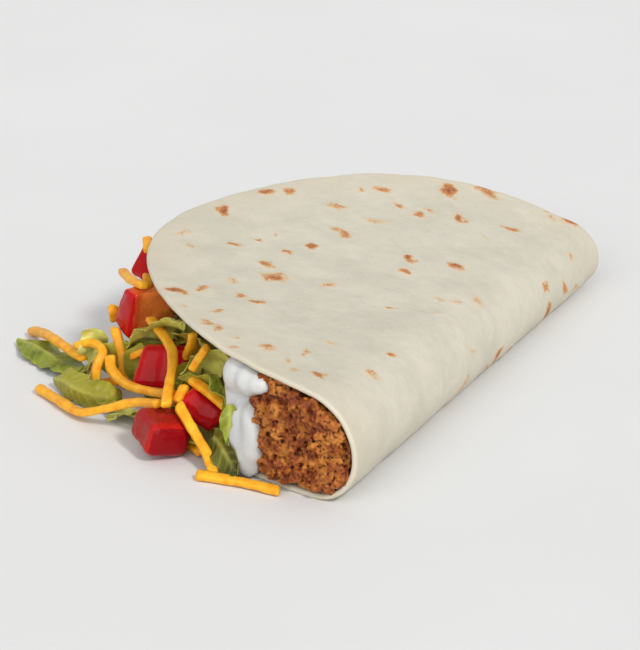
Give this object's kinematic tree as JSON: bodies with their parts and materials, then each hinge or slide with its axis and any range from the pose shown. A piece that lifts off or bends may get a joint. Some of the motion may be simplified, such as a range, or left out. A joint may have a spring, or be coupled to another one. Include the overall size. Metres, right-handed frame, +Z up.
{
  "type": "soft taco",
  "caption": "Soft flour tortilla folded over ground beef, sour cream, shredded lettuce, tomato dice and cheese shreds, part of the filling spilling from its mouth.",
  "frame": {"origin": "on the table under the folded tortilla, midway along the fold and 38 mm in from its outside", "axes": "+X along the fold towards the open end that shows the beef, -Y towards the mouth that shows the lettuce, +Z up"},
  "size_m": [0.1555, 0.1137, 0.0316],
  "materials": {
    "tortilla": "matt cooked flour dough, pale cream with toasted spots",
    "tomato": "wet fresh tomato",
    "cheese": "waxy cheddar",
    "lettuce": "fresh leaf, slightly glossy",
    "cream": "smooth sour cream",
    "beef": "moist seasoned ground beef"
  },
  "bodies": {
    "root": {"tortilla": "tortilla", "tomato_dice_01": "tomato", "tomato_dice_02": "tomato", "tomato_dice_03": "tomato", "tomato_dice_04": "tomato", "tomato_dice_05": "tomato", "tomato_dice_06": "tomato", "tomato_dice_07": "tomato", "tomato_dice_08": "tomato", "cheese_shred_01": "cheese", "cheese_shred_02": "cheese", "cheese_shred_03": "cheese", "cheese_shred_04": "cheese", "cheese_shred_05": "cheese", "cheese_shred_06": "cheese", "cheese_shred_07": "cheese", "cheese_shred_08": "cheese", "cheese_shred_09": "cheese", "cheese_shred_10": "cheese", "cheese_shred_11": "cheese", "cheese_shred_12": "cheese", "cheese_shred_13": "cheese", "cheese_shred_14": "cheese", "cheese_shred_15": "cheese", "cheese_shred_16": "cheese", "cheese_shred_17": "cheese", "cheese_shred_18": "cheese", "cheese_shred_19": "cheese", "cheese_shred_20": "cheese", "cheese_shred_21": "cheese", "cheese_shred_22": "cheese", "cheese_shred_23": "cheese", "lettuce_leaf_01": "lettuce", "lettuce_leaf_02": "lettuce", "lettuce_leaf_03": "lettuce", "lettuce_leaf_04": "lettuce", "lettuce_leaf_05": "lettuce", "lettuce_leaf_06": "lettuce", "lettuce_leaf_07": "lettuce", "lettuce_leaf_08": "lettuce", "lettuce_leaf_09": "lettuce", "lettuce_leaf_10": "lettuce", "sour_cream": "cream", "ground_beef": "beef", "shredded_lettuce": "lettuce"}
  },
  "joints": []
}
